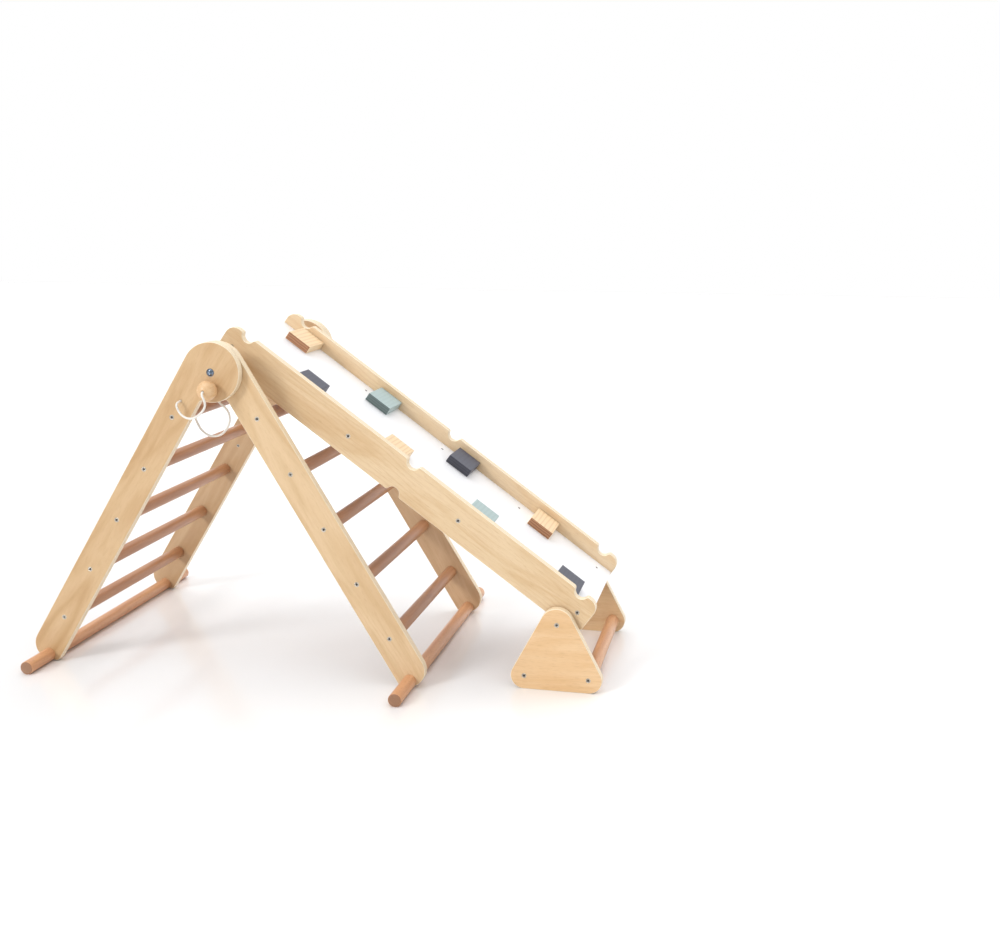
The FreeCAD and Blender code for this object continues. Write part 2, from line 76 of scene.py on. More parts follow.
camera = bpy.data.objects.new("camera", bpy.data.cameras.new("camera"))
bpy.context.scene.collection.objects.link(camera)
bpy.context.scene.camera = camera
camera.data.sensor_width = SENSOR_WIDTH
camera.data.lens = LENS
camera.matrix_world = (Matrix.Translation(CAMERA_PLACE) @ Matrix.Rotation(CAMERA_TURN, 4, "Z")
                       @ Matrix.Rotation(math.pi / 2 - CAMERA_DIP, 4, "X")
                       @ Matrix.Rotation(CAMERA_ROLL, 4, "Z"))


# ---------------------------------------------------------------- colours and nodes

def colour(code):
    """sRGB hex to the linear colour that Blender works in."""
    parts = [int(code[k:k + 2], 16) / 255 for k in (1, 3, 5)]
    return tuple(c / 12.92 if c <= 0.04045 else ((c + 0.055) / 1.055) ** 2.4 for c in parts) + (1.0,)


def add(tree, kind, inputs=None, stops=None, **settings):
    """One shader node: its settings, what its inputs hold or are linked to, and the stops of a colour
    ramp. A node given to an input stands for that node's first output."""
    made = tree.nodes.new("ShaderNode" + kind)
    for key, value in settings.items():
        setattr(made, key, value)
    for socket, value in (inputs or {}).items():
        if isinstance(value, bpy.types.Node):
            value = value.outputs[0]
        if isinstance(value, bpy.types.NodeSocket):
            tree.links.new(value, made.inputs[socket])
        else:
            made.inputs[socket].default_value = value
    if stops:
        ramp = made.color_ramp
        while len(ramp.elements) < len(stops):
            ramp.elements.new(1.0)
        for element, (place, code) in zip(ramp.elements, stops):
            element.position = place
            element.color = colour(code)
    return made


SHARE, FIRST, SECOND, MIXED = 0, 6, 7, 2          # inputs and output of a Mix node set to colours
WAVE_PERIOD = math.pi / 10                        # a wave texture of scale 1 repeats at this distance


def new_material(name):
    """An empty material, its node tree, and the coordinates that its patterns follow. A noise texture's
    scale is one over the size of its cells."""
    made = bpy.data.materials.new(name)
    made.use_nodes = True
    made.node_tree.nodes.clear()
    return made, made.node_tree, add(made.node_tree, "TexCoord")


def facing(tree, coordinates, axis, low, high):
    """0 to 1 as the surface turns to face along one axis, either way."""
    split = add(tree, "SeparateXYZ", {"Vector": coordinates.outputs["Normal"]})
    size = add(tree, "Math", {0: split.outputs[axis]}, operation="ABSOLUTE")
    return add(tree, "MapRange", {"Value": size, "From Min": low, "From Max": high})


def turned_to_grain(tree, coordinates, turn, offset):
    """Object coordinates, turned about Y so that the grain runs along Z, and moved on by an offset."""
    return add(tree, "Mapping", {"Vector": coordinates.outputs["Object"], "Rotation": (0, turn, 0),
                                 "Location": offset})


# ---------------------------------------------------------------- materials

# how far a pattern moves on from one piece to the next, so that no two pieces match
PLYWOOD_STEP = Vector((0.37, 0.11, 0.53))
BEECH_STEP = Vector((0.31, 0.17, 0.43))
BLOCK_STEP = Vector((0.29, 0.13, 0.41))

SHEET_THICKNESS = 18 * MM
PLY_COUNT = 13
PLY_PAIR = 2 * SHEET_THICKNESS / PLY_COUNT        # one ply with the grain along and one with it across


def birch_plywood(name, turn, low_y, tones, seed):
    """Rotary-cut birch plywood under clear satin lacquer: a pale veneer with broad, soft figure and
    fine short pores along the grain, and edges sanded smooth that show thin cream and tan plies."""
    made, tree, coordinates = new_material(name)
    along = turned_to_grain(tree, coordinates, turn, seed * PLYWOOD_STEP)
    # the tones come from the sheet table; for the far rails they carry painted shade
    low, middle, high = tones

    # broad figure: wandering bands about 17 mm wide and 90 mm long, from cells of 45.5 mm
    stretched = add(tree, "Mapping", {"Vector": along, "Scale": (1, 1, 0.16)})
    figure = add(tree, "TexNoise", {"Vector": stretched, "Scale": 1 / (45.5 * MM), "Detail": 3.0,
                                    "Roughness": 0.5, "Distortion": 1.6})
    tone = add(tree, "ValToRGB", {"Fac": figure},
               stops=[(0.30, low), (0.46, middle), (0.60, high), (0.78, middle)])
    # growth lines where the knife crossed the rings, about 10 mm apart, strong only here and there
    lines = add(tree, "TexWave", {"Vector": stretched, "Scale": WAVE_PERIOD / (9.82 * MM),
                                  "Distortion": 11.0, "Detail": 2.5, "Detail Scale": 0.9},
                bands_direction="X")
    patches = add(tree, "TexNoise", {"Vector": along, "Scale": 1 / (143 * MM), "Detail": 1.0})
    patch_share = add(tree, "MapRange", {"Value": patches, "From Min": 0.42, "From Max": 0.66,
                                         "To Min": 0.02, "To Max": 0.20})
    line_share = add(tree, "MapRange", {"Value": lines.outputs["Fac"], "From Min": 0.6, "From Max": 1.0,
                                        "To Max": patch_share})
    lined = add(tree, "Mix", {SHARE: line_share, FIRST: tone, SECOND: colour("#C2986A")},
                data_type="RGBA").outputs[MIXED]
    # pores: darker flecks about 0.4 mm wide and 5 mm long, coarser than real ones so that they show
    fleck_place = add(tree, "Mapping", {"Vector": along, "Scale": (1, 1, 0.07)})
    flecks = add(tree, "TexNoise", {"Vector": fleck_place, "Scale": 1 / (1.11 * MM), "Detail": 2.0})
    fleck_share = add(tree, "MapRange", {"Value": flecks, "From Min": 0.54, "From Max": 0.76,
                                         "To Max": 0.32})
    face = add(tree, "Mix", {SHARE: fleck_share, FIRST: lined, SECOND: colour("#AF8459")},
               data_type="RGBA").outputs[MIXED]

    # edge: thin plies, every other one end grain, that waver a little, under a fine speckle
    shifted = add(tree, "Mapping", {"Vector": coordinates.outputs["Object"], "Location": (0, -low_y, 0)})
    depth = add(tree, "SeparateXYZ", {"Vector": shifted}).outputs["Y"]
    waver = add(tree, "TexNoise", {"Vector": coordinates.outputs["Object"], "Scale": 1 / (33.3 * MM)})
    wavy = add(tree, "Math", {0: waver, 1: 0.35 * MM, 2: depth}, operation="MULTIPLY_ADD")
    count = add(tree, "Math", {0: wavy, 1: 1 / PLY_PAIR}, operation="MULTIPLY")
    phase = add(tree, "Math", {0: count}, operation="FRACT")
    plies = add(tree, "ValToRGB", {"Fac": phase},
                stops=[(0.0, "#F3E3C8"), (0.44, "#F5E8D0"), (0.50, "#DCC096"), (0.94, "#E6CFA9"),
                       (1.0, "#F3E3C8")])
    speckle = add(tree, "TexNoise", {"Vector": coordinates.outputs["Object"],
                                     "Scale": 1 / (1.11 * MM), "Detail": 1.0})
    speckle_share = add(tree, "MapRange", {"Value": speckle, "From Min": 0.5, "From Max": 0.8,
                                           "To Max": 0.3})
    edge = add(tree, "Mix", {SHARE: speckle_share, FIRST: plies, SECOND: colour("#CFB48C")},
               data_type="RGBA").outputs[MIXED]

    on_face = facing(tree, coordinates, "Y", 0.86, 0.97)
    base = add(tree, "Mix", {SHARE: on_face, FIRST: edge, SECOND: face}, data_type="RGBA")
    relief = add(tree, "Mix", {SHARE: on_face, FIRST: phase, SECOND: flecks}, data_type="RGBA")
    bump = add(tree, "Bump", {"Strength": 0.12, "Distance": 0.2 * MM, "Height": relief.outputs[MIXED]})
    shader = add(tree, "BsdfPrincipled", {"Base Color": base.outputs[MIXED], "Roughness": 0.42,
                                          "Normal": bump, "Coat Weight": 0.12, "Coat Roughness": 0.3})
    add(tree, "OutputMaterial", {"Surface": shader})
    return made


def lacquered_beech(name, tones, end_tones, fleck, seed):
    """Turned beech under clear satin lacquer: warm tan, short dark ray flecks along the grain, and
    darker end grain with growth rings."""
    made, tree, coordinates = new_material(name)
    place = add(tree, "Mapping", {"Vector": coordinates.outputs["Object"], "Location": seed * BEECH_STEP})
    # bands of tone about 6 mm wide and 50 mm long, from cells of 11.1 mm
    stretched = add(tree, "Mapping", {"Vector": place, "Scale": (1, 0.06, 1)})
    bands = add(tree, "TexNoise", {"Vector": stretched, "Scale": 1 / (11.1 * MM), "Detail": 4.0,
                                   "Roughness": 0.55})
    tone = add(tree, "ValToRGB", {"Fac": bands}, stops=list(zip((0.28, 0.50, 0.72), tones)))
    # rays: flecks about 0.4 mm wide and 2.5 mm long, from cells of 1.11 mm
    fleck_place = add(tree, "Mapping", {"Vector": place, "Scale": (1, 0.16, 1)})
    flecks = add(tree, "TexNoise", {"Vector": fleck_place, "Scale": 1 / (1.11 * MM), "Detail": 1.0})
    fleck_share = add(tree, "MapRange", {"Value": flecks, "From Min": 0.58, "From Max": 0.74,
                                         "To Max": 0.5})
    side = add(tree, "Mix", {SHARE: fleck_share, FIRST: tone, SECOND: colour(fleck)}, data_type="RGBA")
    rings = add(tree, "TexWave", {"Vector": place, "Scale": WAVE_PERIOD / (2.42 * MM),
                                  "Distortion": 1.2, "Detail": 1.0}, wave_type="RINGS", rings_direction="Y")
    end = add(tree, "ValToRGB", {"Fac": rings.outputs["Fac"]}, stops=list(zip((0.0, 0.7, 1.0), end_tones)))
    on_end = facing(tree, coordinates, "Y", 0.75, 0.95)
    base = add(tree, "Mix", {SHARE: on_end, FIRST: side.outputs[MIXED], SECOND: end}, data_type="RGBA")
    bump = add(tree, "Bump", {"Strength": 0.15, "Distance": 0.2 * MM, "Height": flecks})
    shader = add(tree, "BsdfPrincipled", {"Base Color": base.outputs[MIXED], "Roughness": 0.40,
                                          "Normal": bump, "Coat Weight": 0.15, "Coat Roughness": 0.25})
    add(tree, "OutputMaterial", {"Surface": shader})
    return made


BOARD_PLY_PAIR = 2.7 * MM


def white_laminate(name):
    """White melamine laminate on plywood: a smooth, faintly pebbled white skin, cut edges of ply."""
    made, tree, coordinates = new_material(name)
    level = turned_to_grain(tree, coordinates, -RAMP_DROP, (0, 0, 0))
    height = add(tree, "SeparateXYZ", {"Vector": level}).outputs["Z"]
    count = add(tree, "Math", {0: height, 1: 1 / BOARD_PLY_PAIR}, operation="MULTIPLY")
    phase = add(tree, "Math", {0: count}, operation="FRACT")
    plies = add(tree, "ValToRGB", {"Fac": phase},
                stops=[(0.0, "#EBD9BA"), (0.45, "#EEDFC4"), (0.5, "#D2B68B"), (0.95, "#D9BF97"),
                       (1.0, "#EBD9BA")])
    # the skin is on the two faces that lie along the ramp's slope
    normal = add(tree, "Mapping", {"Vector": coordinates.outputs["Normal"], "Rotation": (0, -RAMP_DROP, 0)},
                 vector_type="NORMAL")
    upright = add(tree, "SeparateXYZ", {"Vector": normal}).outputs["Z"]
    size = add(tree, "Math", {0: upright}, operation="ABSOLUTE")
    on_skin = add(tree, "MapRange", {"Value": size, "From Min": 0.6, "From Max": 0.8})
    grime = add(tree, "TexNoise", {"Vector": coordinates.outputs["Object"], "Scale": 1 / (71.4 * MM),
                                   "Detail": 3.0})
    skin = add(tree, "ValToRGB", {"Fac": grime}, stops=[(0.35, "#F6F6F8"), (0.7, "#F2F2F4")])
    pebble = add(tree, "TexNoise", {"Vector": coordinates.outputs["Object"], "Scale": 1 / (0.77 * MM)})
    bump = add(tree, "Bump", {"Strength": 0.05, "Distance": 0.1 * MM, "Height": pebble})
    base = add(tree, "Mix", {SHARE: on_skin, FIRST: plies, SECOND: skin}, data_type="RGBA")
    shader = add(tree, "BsdfPrincipled", {"Base Color": base.outputs[MIXED], "Roughness": 0.36,
                                          "Normal": bump})
    add(tree, "OutputMaterial", {"Surface": shader})
    return made


def solid_wood_block(name, light, dark, end_light, end_dark, strength, seed):
    """A climbing block of softwood, left natural or stained: growth lines about 9 mm apart that run across the
    ramp, and end faces, towards the middle of the ramp, darker partly as end grain and partly as painted shade."""
    made, tree, coordinates = new_material(name)
    along = turned_to_grain(tree, coordinates, -RAMP_DROP, seed * BLOCK_STEP)
    stretched = add(tree, "Mapping", {"Vector": along, "Scale": (1, 0.12, 1)})
    rings = add(tree, "TexWave", {"Vector": stretched, "Scale": WAVE_PERIOD / (9.24 * MM),
                                  "Distortion": 3.5, "Detail": 2.0, "Detail Scale": 1.2},
                bands_direction="X")
    share = add(tree, "MapRange", {"Value": rings.outputs["Fac"], "From Min": 0.45, "From Max": 1.0,
                                   "To Max": strength})
    # pores: flecks about 0.5 mm wide and 4 mm long, from cells of 1.43 mm
    pores = add(tree, "TexNoise", {"Vector": stretched, "Scale": 1 / (1.43 * MM), "Detail": 2.0})
    pore_share = add(tree, "MapRange", {"Value": pores, "From Min": 0.55, "From Max": 0.8, "To Max": 0.4})
    lined = add(tree, "Mix", {SHARE: share, FIRST: colour(light), SECOND: colour(dark)}, data_type="RGBA")
    side = add(tree, "Mix", {SHARE: pore_share, FIRST: lined.outputs[MIXED], SECOND: colour(dark)},
               data_type="RGBA")
    # end faces: end grain rings, in tones darkened partly as painted shade
    end_rings = add(tree, "TexWave", {"Vector": along, "Scale": WAVE_PERIOD / (5.24 * MM),
                                      "Distortion": 2.0, "Detail": 2.0}, bands_direction="Z")
    end = add(tree, "Mix", {SHARE: end_rings.outputs["Fac"], FIRST: colour(end_light),
                            SECOND: colour(end_dark)}, data_type="RGBA")
    on_end = facing(tree, coordinates, "Y", 0.7, 0.9)
    base = add(tree, "Mix", {SHARE: on_end, FIRST: side.outputs[MIXED], SECOND: end.outputs[MIXED]},
               data_type="RGBA")
    bump = add(tree, "Bump", {"Strength": 0.2, "Distance": 0.2 * MM, "Height": pores})
    shader = add(tree, "BsdfPrincipled", {"Base Color": base.outputs[MIXED], "Roughness": 0.5,
                                          "Normal": bump, "Coat Weight": 0.08, "Coat Roughness": 0.35})
    add(tree, "OutputMaterial", {"Surface": shader})
    return made


def zinc_plate(name, tint, rough):
    """Zinc-plated steel: bright grey metal with a slightly uneven, cloudy sheen."""
    made, tree, coordinates = new_material(name)
    cloud = add(tree, "TexNoise", {"Vector": coordinates.outputs["Object"], "Scale": 1 / (3.85 * MM),
                                   "Detail": 3.0})
    sheen = add(tree, "MapRange", {"Value": cloud, "To Min": rough - 0.08, "To Max": rough + 0.1})
    base = add(tree, "ValToRGB", {"Fac": cloud}, stops=[(0.3, tint[0]), (0.7, tint[1])])
    shader = add(tree, "BsdfPrincipled", {"Base Color": base, "Metallic": 1.0, "Roughness": sheen})
    add(tree, "OutputMaterial", {"Surface": shader})
    return made


def socket_shade_black(name):
    """Painted shade for the insides of hexagonal sockets, and the same near-black on the board's inserts: dark,
    dull, with a faint brown cast.
    """
    made, tree, coordinates = new_material(name)
    cloud = add(tree, "TexNoise", {"Vector": coordinates.outputs["Object"], "Scale": 1 / (2 * MM),
                                   "Detail": 2.0})
    base = add(tree, "ValToRGB", {"Fac": cloud}, stops=[(0.3, "#1C1A1A"), (0.7, "#2E2A28")])
    shader = add(tree, "BsdfPrincipled", {"Base Color": base, "Metallic": 0.6, "Roughness": 0.5})
    add(tree, "OutputMaterial", {"Surface": shader})
    return made


CORD_DIAMETER = 4.5 * MM
STRAND_PITCH = 1.5 * MM
STRAND_LAY = math.radians(38)                     # how far a strand leans from straight round the cord


def cotton_cord(name):
    """Braided cotton cord, bleached white: matt, soft, its strands crossing every 1.5 mm."""
    made, tree, coordinates = new_material(name)
    strands = []
    for way in (1, -1):
        laid = add(tree, "Mapping", {"Vector": coordinates.outputs["UV"],
                                     "Rotation": (0, 0, way * STRAND_LAY)})
        wave = add(tree, "TexWave", {"Vector": laid, "Scale": WAVE_PERIOD / STRAND_PITCH},
                   bands_direction="X")
        strands.append(wave.outputs["Fac"])
    braid = add(tree, "Math", {0: strands[0], 1: strands[1]}, operation="MAXIMUM")
    # painted shade: the grooves between strands, where the braid is low, are greyer than the white strands
    base = add(tree, "ValToRGB", {"Fac": braid}, stops=[(0.0, "#CFC9BE"), (0.8, "#F4F1EA")])
    bump = add(tree, "Bump", {"Strength": 0.5, "Distance": 0.25 * MM, "Height": braid})
    shader = add(tree, "BsdfPrincipled", {"Base Color": base, "Roughness": 0.9, "Normal": bump,
                                          "Sheen Weight": 0.3, "Sheen Roughness": 0.5})
    add(tree, "OutputMaterial", {"Surface": shader})
    return made


def studio_floor(name):
    """White lacquered studio floor: a plain glossy sheet that gives soft, pale reflections."""
    made, tree, coordinates = new_material(name)
    cloud = add(tree, "TexNoise", {"Vector": coordinates.outputs["Object"], "Scale": 1 / (500 * MM),
                                   "Detail": 2.0})
    rough = add(tree, "MapRange", {"Value": cloud, "To Min": 0.12, "To Max": 0.18})
    shader = add(tree, "BsdfPrincipled", {"Base Color": colour("#F5F5F6"), "Roughness": rough, "IOR": 1.8})
    add(tree, "OutputMaterial", {"Surface": shader})
    return made


def dress(target, material):
    """Gives a piece one material."""
    target.data.materials.clear()
    target.data.materials.append(material)


# ---------------------------------------------------------------- making pieces

def new_piece(name, bm, material, body, nodes=(), smooth_angle=40.0):
    """Turns a bmesh into a finished piece at the origin that rides on a body."""
    bmesh.ops.remove_doubles(bm, verts=bm.verts, dist=1e-6)
    bmesh.ops.recalc_face_normals(bm, faces=bm.faces)
    mesh = bpy.data.meshes.new(name)
    bm.to_mesh(mesh)
    bm.free()
    mesh.shade_smooth()
    mesh.set_sharp_from_angle(angle=math.radians(smooth_angle))
    piece = bpy.data.objects.new(name, mesh)
    bpy.context.scene.collection.objects.link(piece)
    dress(piece, material)
    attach(piece, body)
    if nodes:
        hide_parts(*nodes)
    return piece


def arc(centre, radius, start, end, steps):
    """Points (r, z) of a round stretch of an outline, angles in degrees from +r."""
    angles = [math.radians(start + (end - start) * k / steps) for k in range(steps + 1)]
    return [(centre[0] + radius * math.cos(a), centre[1] + radius * math.sin(a)) for a in angles]


def turned(bm, outline, segments, place):
    """Spins an outline of (r, z) points about the Z axis, then puts the shape in its place."""
    verts = [bm.verts.new((r, 0, z)) for r, z in outline]
    edges = [bm.edges.new(pair) for pair in zip(verts, verts[1:])]
    bmesh.ops.spin(bm, geom=verts + edges, cent=(0, 0, 0), axis=(0, 0, 1), angle=2 * math.pi,
                   steps=segments, use_merge=True, use_duplicate=False)
    bmesh.ops.remove_doubles(bm, verts=bm.verts, dist=1e-6)
    bmesh.ops.transform(bm, matrix=place, verts=bm.verts)


def joined(parts):
    """One bmesh made of several."""
    whole = bmesh.new()
    for part in parts:
        mesh = bpy.data.meshes.new("part")
        part.to_mesh(mesh)
        part.free()
        whole.from_mesh(mesh)
        bpy.data.meshes.remove(mesh)
    return whole


def outwards(point, sign):
    """Place of a head on an outer face: its Z looks out of the near (-1) or far (1) side."""
    return Matrix.Translation(point) @ Matrix.Rotation(-sign * math.pi / 2, 4, "X")


# ---------------------------------------------------------------- cords of the two lock pins

# The route from the pivot's X, the back rail's outer face and the floor, in millimetres: out of the
# ball, down in a loop, through the rail's small hole, and behind the rail back to the pin's end.
CORD_ROUTE = [
    (0.0, -33.3, 604.0), (0.0, -42.0, 603.8), (2.0, -47.0, 597.5), (6.0, -45.0, 588.5),
    (5.5, -40.5, 577.0), (-1.5, -36.0, 566.5), (-12.5, -31.0, 557.0), (-25.5, -25.5, 549.0),
    (-39.0, -20.0, 546.0), (-52.0, -15.5, 547.5), (-61.5, -13.5, 553.5), (-66.5, -15.0, 562.5),
    (-68.0, -18.5, 572.0), (-67.1, -12.0, 578.3), (-67.1, 29.0, 578.3), (-67.4, 44.0, 567.0),
    (-64.5, 50.0, 547.0), (-58.5, 51.5, 526.5), (-48.0, 52.0, 508.5), (-31.0, 53.0, 498.0),
    (-10.0, 54.0, 499.5), (5.0, 55.0, 512.5), (13.0, 56.0, 530.0), (12.0, 56.5, 546.0),
    (4.5, 57.0, 558.0), (-8.0, 57.5, 566.5), (-16.5, 58.0, 576.5), (-14.5, 58.0, 590.0),
    (-4.5, 56.5, 600.5), (0.0, 49.5, 604.0), (0.0, 40.6, 604.0),
]
BRAID_START = Vector((0.3, 1.0, 0.2))             # the direction that turns round the cord count from


def route_spline(name, points, radius):
    """The cord's line as a NURBS curve through its route, with a round section if it has a radius."""
    data = bpy.data.curves.new(name, "CURVE")
    data.dimensions = "3D"
    spline = data.splines.new("NURBS")
    spline.points.add(len(points) - 1)
    for control, point in zip(spline.points, points):
        control.co = (*point, 1.0)
    spline.order_u = 3
    spline.use_endpoint_u = True
    data.resolution_u = 8
    data.bevel_depth = radius
    data.bevel_resolution = 5
    data.use_fill_caps = radius > 0
    return bpy.data.objects.new(name, data)


def cord_line(points):
    """Points along the smooth line of a route."""
    line = route_spline("cord_line", points, 0.0)
    mesh = bpy.data.meshes.new_from_object(line)
    found = [vertex.co.copy() for vertex in mesh.vertices]
    bpy.data.meshes.remove(mesh)
    bpy.data.objects.remove(line)
    return found


def make_cord(label, sign, material):
    """One closed loop of cord: from the ball to the hole in the leg, and on to the pin's inner end."""
    points = [Vector((PIVOT.x + x * MM, sign * (RAIL_FACE - y * MM), z * MM)) for x, y, z in CORD_ROUTE]
    line = cord_line(points)
    tube = route_spline("cord_tube", points, CORD_DIAMETER / 2)
    mesh = bpy.data.meshes.new_from_object(tube)
    bpy.data.objects.remove(tube)
    lay_along(mesh, line)
    mesh.shade_smooth()
    piece = bpy.data.objects.new("cord_" + label, mesh)
    bpy.context.scene.collection.objects.link(piece)
    dress(piece, material)
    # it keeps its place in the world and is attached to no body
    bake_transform(piece)
    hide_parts("lock_cord_" + label, "tether_cord_" + label)
    return piece


def lay_along(mesh, line):
    """UV map in metres: U along the cord and V round it, for the braid."""
    lengths = [0.0]
    for here, there in zip(line, line[1:]):
        lengths.append(lengths[-1] + (there - here).length)
    layer = mesh.uv_layers.active or mesh.uv_layers.new(name="braid")
    around = math.pi * CORD_DIAMETER
    near = {}
    for vertex in mesh.vertices:
        index = min(range(len(line)), key=lambda k: (line[k] - vertex.co).length_squared)
        way = (line[min(index + 1, len(line) - 1)] - line[max(index - 1, 0)]).normalized()
        out = vertex.co - line[index]
        side = way.cross(BRAID_START).normalized()
        turn = math.atan2(out.dot(side), out.dot(way.cross(side)))
        near[vertex.index] = (lengths[index], (turn / math.tau + 0.5) * around)
    for polygon in mesh.polygons:
        rounds = [near[mesh.loops[k].vertex_index][1] for k in polygon.loop_indices]
        wraps = max(rounds) - min(rounds) > around / 2
        for k, v in zip(polygon.loop_indices, rounds):
            u = near[mesh.loops[k].vertex_index][0]
            layer.data[k].uv = (u, v + around if wraps and v < around / 2 else v)


cord_material = cotton_cord("bleached cotton cord")
for side_label, side_sign in SIDES:
    make_cord(side_label, side_sign, cord_material)


# ---------------------------------------------------------------- plywood sheets

BACK_GRAIN, FRONT_GRAIN = -LEG_LEAN, LEG_LEAN
RAMP_GRAIN, STAND_GRAIN = math.pi / 2 - RAMP_DROP, math.pi / 2
# each sheet with the turn of its grain, and its veneer's darker, middle and lighter tones. The far rails' tones
# are darker than the near rails' as painted shade on their inner faces.
SHEETS = {
    "back_rail_near": (BACK_GRAIN, ("#C49E70", "#CEAB7F", "#D4B388")),
    # painted shade: darker tones for the far back rail, whose inner face lies in shade
    "back_rail_far": (BACK_GRAIN, ("#B5926D", "#BF9E78", "#C6A782")),
    "front_rail_near": (FRONT_GRAIN, ("#CFAD81", "#D8B98F", "#DEC098")),
    # painted shade: darker tones for the far front rail, whose inner face lies in shade under the ramp
    "front_rail_far": (FRONT_GRAIN, ("#BE9A73", "#C8A680", "#D0B08B")),
    "ramp_side_near": (RAMP_GRAIN, ("#D5B58A", "#DDC199", "#E2C8A2")),
    "ramp_side_far": (RAMP_GRAIN, ("#DDBE95", "#E4C9A3", "#E8CFAC")),
    "stand_side_near": (STAND_GRAIN, ("#DDB482", "#E3BD8E", "#E7C498")),
    "stand_side_far": (STAND_GRAIN, ("#D9B485", "#DFBC90", "#E3C398")),
}

for number, (node_name, (grain_turn, tones)) in enumerate(SHEETS.items(), 1):
    material = birch_plywood("lacquered birch plywood " + node_name, grain_turn,
                             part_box(node_name)[0].y, tones, number)
    dress(frame["nodes"][node_name], material)

dress(frame["nodes"]["ramp_board"], white_laminate("white melamine laminate"))


# ---------------------------------------------------------------- dowels

DOWEL_SEGMENTS = 72
FOOT_EASE, DOWEL_EASE = 1.6 * MM, 0.4 * MM         # rounding of the ends of feet, and of other dowels
BEECH = ("#C38B62", "#D29B70", "#E0AC81")
# painted shade: the rungs' beech is darker than the other dowels' because the rungs lie in shade under the ramp
# and the head
SHADED_RUNG_BEECH = ("#A5704A", "#B27D56", "#C08D65")
BEECH_END = ("#916649", "#AA7F5E", "#7C553A")
BEECH_FLECK = "#9C6B4B"


def make_dowel(node_name, body, seed):
    """A dowel with softly rounded ends, exactly as long and thick as its solid."""
    low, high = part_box(node_name)
    radius = (high.x - low.x) / 2
    half = (high.y - low.y) / 2
    soft = FOOT_EASE if "foot" in node_name else DOWEL_EASE
    rim = arc((radius - soft, half - soft), soft, 0, 90, 4)
    outline = [(0, -half)] + [(r, -z) for r, z in reversed(rim)] + rim + [(0, half)]
    bm = bmesh.new()
    place = Matrix.Translation((low + high) / 2) @ Matrix.Rotation(math.pi / 2, 4, "X")
    turned(bm, outline, DOWEL_SEGMENTS, place)
    # rungs take the darker tones, which are painted shade
    tones = SHADED_RUNG_BEECH if "_rung" in node_name else BEECH
    material = lacquered_beech("lacquered beech " + node_name, tones, BEECH_END, BEECH_FLECK, seed)
    return new_piece("beech_" + node_name, bm, material, body, (node_name,))


dowel_seed = 0
for body_name, members in frame["record"]["behaviour"]["bodies"].items():
    for node_name in members:
        if node_name.endswith("_dowel") or ("_rung" in node_name and "screws" not in node_name):
            dowel_seed += 1
            make_dowel(node_name, body_name, dowel_seed)


# ---------------------------------------------------------------- screws and bolts

HEX_SEGMENTS = 36
ROD_SEGMENTS = 16
SCREW_HEAD, SCREW_SHANK, SCREW_RIM = 4.9 * MM, 2.2 * MM, 0.25 * MM
SCREW_SOCKET, SCREW_SOCKET_DEPTH = 4.8 * MM, 2.6 * MM
SCREW_POINT = 0.2                                 # radius of the point, as a share of the shank's
SCREW_LENGTH = 48 * MM
RAMP_SCREW_PLACES = (-446 * MM, -142 * MM, 142 * MM, 446 * MM)
STAND_OFF = 0.3 * MM                              # bolt heads and balls stay this far off the rail


def hex_socket(bm, rim_radius, across, depth, height):
    """Sinks a hexagonal socket, in the piece's second material, into the flat round top of a head."""
    bm.faces.ensure_lookup_table()
    top = max(bm.faces, key=lambda f: (round(f.calc_center_median().z, 7), len(f.verts)))
    # the inset only has to come near the hexagon, because its vertices are then moved onto it
    near_hexagon = across / 1.8
    bmesh.ops.inset_individual(bm, faces=[top], thickness=rim_radius - near_hexagon, depth=0.0,
                               use_even_offset=True)
    for vert in top.verts:
        angle = math.atan2(vert.co.y, vert.co.x) % (math.pi / 3) - math.pi / 6
        reach = across / 2 / math.cos(angle)
        flat = Vector((vert.co.x, vert.co.y, 0)).normalized() * reach
        vert.co = Vector((flat.x, flat.y, height))
    walls = bmesh.ops.extrude_face_region(bm, geom=[top])
    floor_verts = [part for part in walls["geom"] if isinstance(part, bmesh.types.BMVert)]
    bmesh.ops.translate(bm, vec=(0, 0, -depth), verts=floor_verts)
    bmesh.ops.delete(bm, geom=[top], context="FACES")
    # the socket's walls and floor take the second material, the painted socket shade
    for face in {face for vert in floor_verts for face in vert.link_faces}:
        face.material_index = 1


def countersunk_screw(place):
    """A countersunk furniture screw with a hexagonal socket, its head flush with the wood."""
    bm = bmesh.new()
    head, shank, rim = SCREW_HEAD, SCREW_SHANK, SCREW_RIM
    bmesh.ops.create_cone(bm, cap_ends=True, segments=HEX_SEGMENTS, radius1=head - rim, radius2=head,
                          depth=rim, matrix=Matrix.Translation((0, 0, -rim / 2)))
    hex_socket(bm, head, SCREW_SOCKET, SCREW_SOCKET_DEPTH, 0.0)
    cone = bmesh.new()
    bmesh.ops.create_cone(cone, cap_ends=True, segments=HEX_SEGMENTS, radius1=shank, radius2=head - rim,
                          depth=head - shank, matrix=Matrix.Translation((0, 0, -rim - (head - shank) / 2)))
    rod = bmesh.new()
    bmesh.ops.create_cone(rod, cap_ends=True, segments=ROD_SEGMENTS, radius1=shank * SCREW_POINT,
                          radius2=shank, depth=SCREW_LENGTH,
                          matrix=Matrix.Translation((0, 0, -SCREW_LENGTH / 2 - rim)))
    whole = joined([bm, cone, rod])
    bmesh.ops.transform(whole, matrix=place, verts=whole.verts)
    return whole


def make_screws(name, node_name, body, heads, material):
    """All the screws of one group, as one piece."""
    whole = joined([countersunk_screw(outwards(point, sign)) for point, sign in heads])
    piece = new_piece(name, whole, material, body, (node_name,))
    piece.data.materials.append(socket_shade_material)
    return piece


